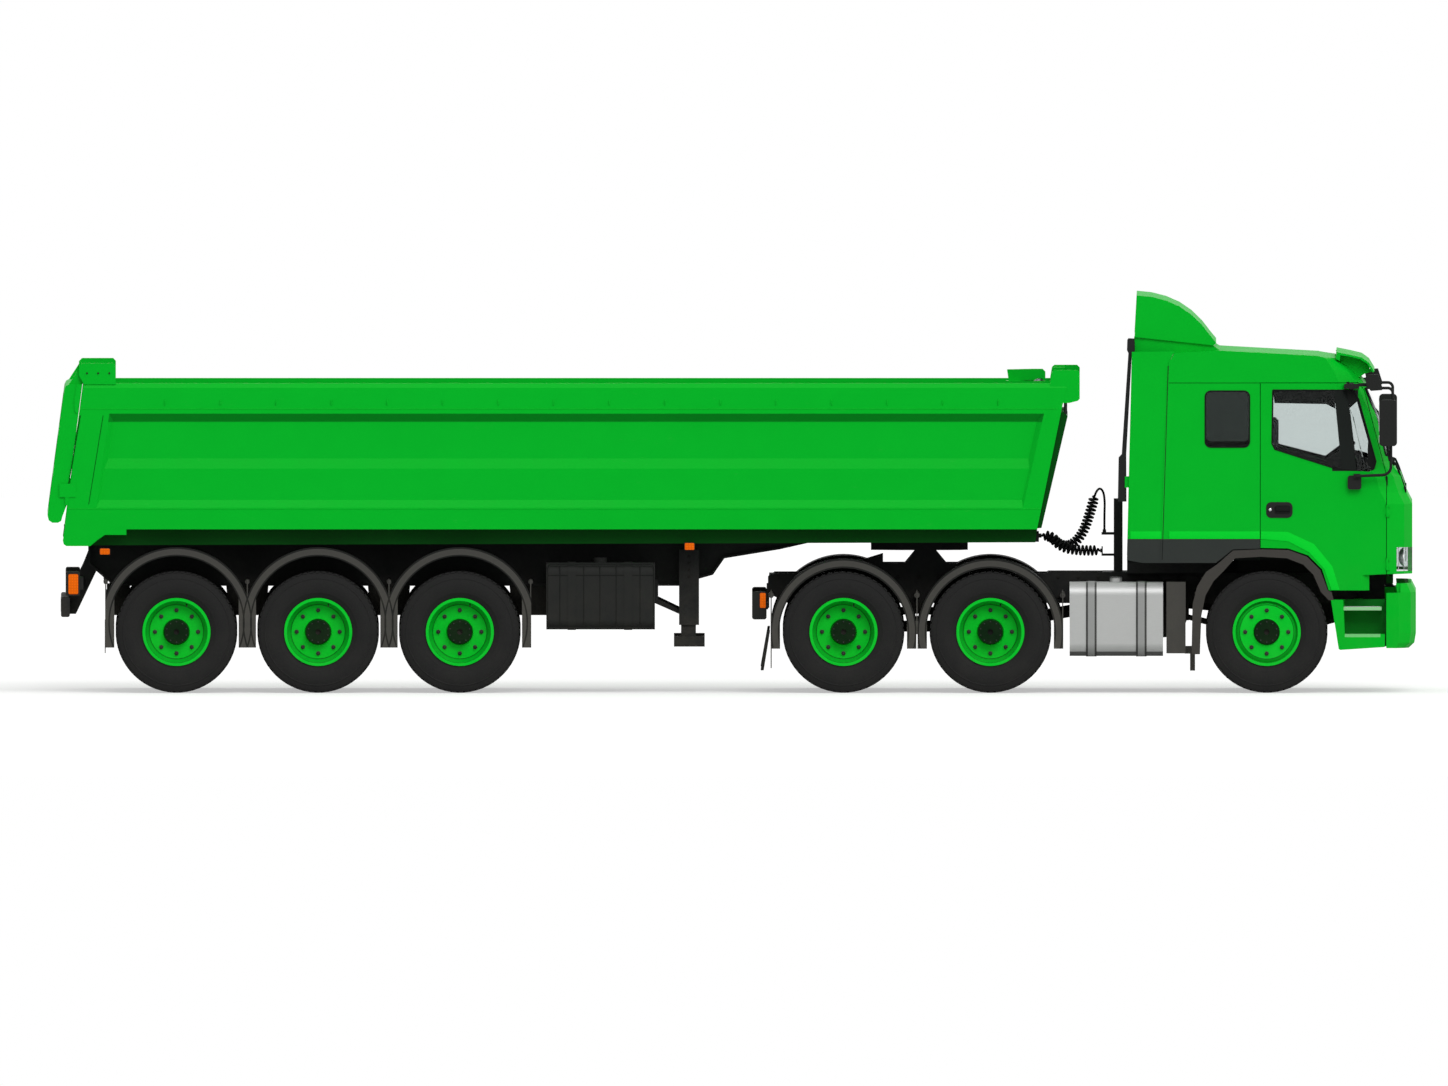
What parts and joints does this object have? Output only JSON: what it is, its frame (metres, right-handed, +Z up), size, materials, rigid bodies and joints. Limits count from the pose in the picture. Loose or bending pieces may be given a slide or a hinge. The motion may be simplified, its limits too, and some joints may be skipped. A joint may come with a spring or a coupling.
{
  "type": "articulated semi tipper truck",
  "caption": "Articulated lorry: tractor with sleeper cab and a semi-trailer whose open body tips backwards on a front hoist.",
  "frame": {"origin": "on the ground, at the middle of the whole lorry's length and width, with tractor and trailer in line", "axes": "+X forward to the cab's front, +Y to the lorry's left, +Z up"},
  "size_m": [12.316, 3, 3.578],
  "materials": {
    "body_paint": "gloss",
    "chassis_paint": "satin",
    "cast_parts": "matte",
    "moulded_plastic": "matte",
    "tank_metal": "satin",
    "tyre_rubber": "matte",
    "window_glass": "gloss",
    "lamp_lens": "gloss",
    "trim_inside": "matte",
    "hoist_steel": "satin",
    "hose_rubber": "satin"
  },
  "bodies": {
    "tractor": {"tractor_frame": "chassis_paint", "fifth_wheel": "chassis_paint", "driveline": "cast_parts", "tractor_fenders": "moulded_plastic", "fuel_tank": "tank_metal", "front_bumper": "body_paint", "tractor_lamps": "lamp_lens", "hose_upper": "hose_rubber", "hose_lower": "hose_rubber"},
    "cab": {"cab_shell": "body_paint", "cab_front": "body_paint", "cab_fairings": "body_paint", "cab_glass": "window_glass", "cab_interior": "trim_inside"},
    "door_left": {"door_left": "body_paint", "door_glass_left": "window_glass", "mirror_left": "moulded_plastic"},
    "knuckle_left": {"knuckle_left": "cast_parts"},
    "front_wheel_left": {"wheel_steer_left": "body_paint", "tyre_steer_left": "tyre_rubber"},
    "drive_wheel_middle_left": {"wheel_drive_middle_left": "body_paint", "tyre_drive_middle_left": "tyre_rubber"},
    "drive_wheel_rear_left": {"wheel_drive_rear_left": "body_paint", "tyre_drive_rear_left": "tyre_rubber"},
    "door_right": {"door_right": "body_paint", "door_glass_right": "window_glass", "mirror_right": "moulded_plastic"},
    "knuckle_right": {"knuckle_right": "cast_parts"},
    "front_wheel_right": {"wheel_steer_right": "body_paint", "tyre_steer_right": "tyre_rubber"},
    "drive_wheel_middle_right": {"wheel_drive_middle_right": "body_paint", "tyre_drive_middle_right": "tyre_rubber"},
    "drive_wheel_rear_right": {"wheel_drive_rear_right": "body_paint", "tyre_drive_rear_right": "tyre_rubber"},
    "trailer": {"trailer_frame": "chassis_paint", "trailer_axles": "cast_parts", "trailer_fenders": "moulded_plastic", "landing_legs": "chassis_paint", "tool_box": "moulded_plastic", "trailer_lamps": "lamp_lens"},
    "trailer_wheel_front_left": {"wheel_trailer_front_left": "body_paint", "tyre_trailer_front_left": "tyre_rubber"},
    "trailer_wheel_middle_left": {"wheel_trailer_middle_left": "body_paint", "tyre_trailer_middle_left": "tyre_rubber"},
    "trailer_wheel_rear_left": {"wheel_trailer_rear_left": "body_paint", "tyre_trailer_rear_left": "tyre_rubber"},
    "trailer_wheel_front_right": {"wheel_trailer_front_right": "body_paint", "tyre_trailer_front_right": "tyre_rubber"},
    "trailer_wheel_middle_right": {"wheel_trailer_middle_right": "body_paint", "tyre_trailer_middle_right": "tyre_rubber"},
    "trailer_wheel_rear_right": {"wheel_trailer_rear_right": "body_paint", "tyre_trailer_rear_right": "tyre_rubber"},
    "tipper": {"tipper_body": "body_paint"},
    "tailgate": {"tailgate": "body_paint"},
    "hoist_barrel": {"hoist_barrel": "hoist_steel"},
    "hoist_stage_1": {"hoist_stage_1": "hoist_steel"},
    "hoist_stage_2": {"hoist_stage_2": "hoist_steel"},
    "hoist_stage_3": {"hoist_stage_3": "hoist_steel"},
    "hoist_stage_4": {"hoist_stage_4": "hoist_steel"},
    "hoist_stage_5": {"hoist_stage_5": "hoist_steel"}
  },
  "joints": [
    {"name": "kingpin_yaw", "type": "hinge", "parent": "tractor", "child": "trailer", "pos_m": [1.688, 0, 1.35], "axis": [0, 0, 1], "range_deg": [-90, 90], "deforming": ["hose_upper", "hose_lower"]},
    {"name": "body_tip", "type": "hinge", "parent": "trailer", "child": "tipper", "pos_m": [-5.75, 0, 1.392], "axis": [0, -1, 0], "range_deg": [0, 45]},
    {"name": "tailgate_swing", "type": "hinge", "parent": "tipper", "child": "tailgate", "pos_m": [-5.826, 0, 2.884], "axis": [0, 1, 0], "range_deg": [0, 80]},
    {"name": "cab_tilt", "type": "hinge", "parent": "tractor", "child": "cab", "pos_m": [5.96, 0, 0.85], "axis": [0, 1, 0], "range_deg": [0, 55]},
    {"name": "door_left_swing", "type": "hinge", "parent": "cab", "child": "door_left", "pos_m": [5.899, 1.237, 1.9], "axis": [0, 0, -1], "range_deg": [0, 70]},
    {"name": "steer_left", "type": "hinge", "parent": "tractor", "child": "knuckle_left", "pos_m": [4.817, 1, 0.55], "axis": [0, 0, 1], "range_deg": [-35, 35]},
    {"name": "front_wheel_left_spin", "type": "hinge", "parent": "knuckle_left", "child": "front_wheel_left", "pos_m": [4.817, 1.07, 0.55], "axis": [0, 1, 0], "continuous": true},
    {"name": "drive_wheel_middle_left_spin", "type": "hinge", "parent": "tractor", "child": "drive_wheel_middle_left", "pos_m": [2.33, 0.9, 0.55], "axis": [0, 1, 0], "continuous": true},
    {"name": "drive_wheel_rear_left_spin", "type": "hinge", "parent": "tractor", "child": "drive_wheel_rear_left", "pos_m": [1.008, 0.9, 0.55], "axis": [0, 1, 0], "continuous": true},
    {"name": "trailer_wheel_front_left_spin", "type": "hinge", "parent": "trailer", "child": "trailer_wheel_front_left", "pos_m": [-2.445, 1.04, 0.55], "axis": [0, 1, 0], "continuous": true},
    {"name": "trailer_wheel_middle_left_spin", "type": "hinge", "parent": "trailer", "child": "trailer_wheel_middle_left", "pos_m": [-3.72, 1.04, 0.55], "axis": [0, 1, 0], "continuous": true},
    {"name": "trailer_wheel_rear_left_spin", "type": "hinge", "parent": "trailer", "child": "trailer_wheel_rear_left", "pos_m": [-4.995, 1.04, 0.55], "axis": [0, 1, 0], "continuous": true},
    {"name": "door_right_swing", "type": "hinge", "parent": "cab", "child": "door_right", "pos_m": [5.899, -1.237, 1.9], "axis": [0, 0, 1], "range_deg": [0, 70]},
    {"name": "steer_right", "type": "hinge", "parent": "tractor", "child": "knuckle_right", "pos_m": [4.817, -1, 0.55], "axis": [0, 0, 1], "range_deg": [-35, 35]},
    {"name": "front_wheel_right_spin", "type": "hinge", "parent": "knuckle_right", "child": "front_wheel_right", "pos_m": [4.817, -1.07, 0.55], "axis": [0, 1, 0], "continuous": true},
    {"name": "drive_wheel_middle_right_spin", "type": "hinge", "parent": "tractor", "child": "drive_wheel_middle_right", "pos_m": [2.33, -0.9, 0.55], "axis": [0, 1, 0], "continuous": true},
    {"name": "drive_wheel_rear_right_spin", "type": "hinge", "parent": "tractor", "child": "drive_wheel_rear_right", "pos_m": [1.008, -0.9, 0.55], "axis": [0, 1, 0], "continuous": true},
    {"name": "trailer_wheel_front_right_spin", "type": "hinge", "parent": "trailer", "child": "trailer_wheel_front_right", "pos_m": [-2.445, -1.04, 0.55], "axis": [0, 1, 0], "continuous": true},
    {"name": "trailer_wheel_middle_right_spin", "type": "hinge", "parent": "trailer", "child": "trailer_wheel_middle_right", "pos_m": [-3.72, -1.04, 0.55], "axis": [0, 1, 0], "continuous": true},
    {"name": "trailer_wheel_rear_right_spin", "type": "hinge", "parent": "trailer", "child": "trailer_wheel_rear_right", "pos_m": [-4.995, -1.04, 0.55], "axis": [0, 1, 0], "continuous": true},
    {"name": "hoist_swing", "type": "hinge", "parent": "trailer", "child": "hoist_barrel", "pos_m": [2.65, 0, 1.41], "axis": [0, -1, 0], "range_deg": [0, 30.93]},
    {"name": "hoist_extend_1", "type": "slide", "parent": "hoist_barrel", "child": "hoist_stage_1", "axis": [0.0899, 0, 0.9959], "range_m": [0, 1.2762]},
    {"name": "hoist_extend_2", "type": "slide", "parent": "hoist_stage_1", "child": "hoist_stage_2", "axis": [0.0899, 0, 0.9959], "range_m": [0, 1.2762]},
    {"name": "hoist_extend_3", "type": "slide", "parent": "hoist_stage_2", "child": "hoist_stage_3", "axis": [0.0899, 0, 0.9959], "range_m": [0, 1.2762]},
    {"name": "hoist_extend_4", "type": "slide", "parent": "hoist_stage_3", "child": "hoist_stage_4", "axis": [0.0899, 0, 0.9959], "range_m": [0, 1.2762]},
    {"name": "hoist_extend_5", "type": "slide", "parent": "hoist_stage_4", "child": "hoist_stage_5", "axis": [0.0899, 0, 0.9959], "range_m": [0, 1.2762]}
  ],
  "couplings": [
    {"joint": "steer_right", "follows": "steer_left", "ratio": 1},
    {"joint": "hoist_swing", "follows": "body_tip", "ratio": 0.68707},
    {"joint": "hoist_extend_1", "follows": "body_tip", "m_per_rad": 1.6236},
    {"joint": "hoist_extend_2", "follows": "body_tip", "m_per_rad": 1.6236},
    {"joint": "hoist_extend_3", "follows": "body_tip", "m_per_rad": 1.6236},
    {"joint": "hoist_extend_4", "follows": "body_tip", "m_per_rad": 1.6236},
    {"joint": "hoist_extend_5", "follows": "body_tip", "m_per_rad": 1.6236}
  ]
}
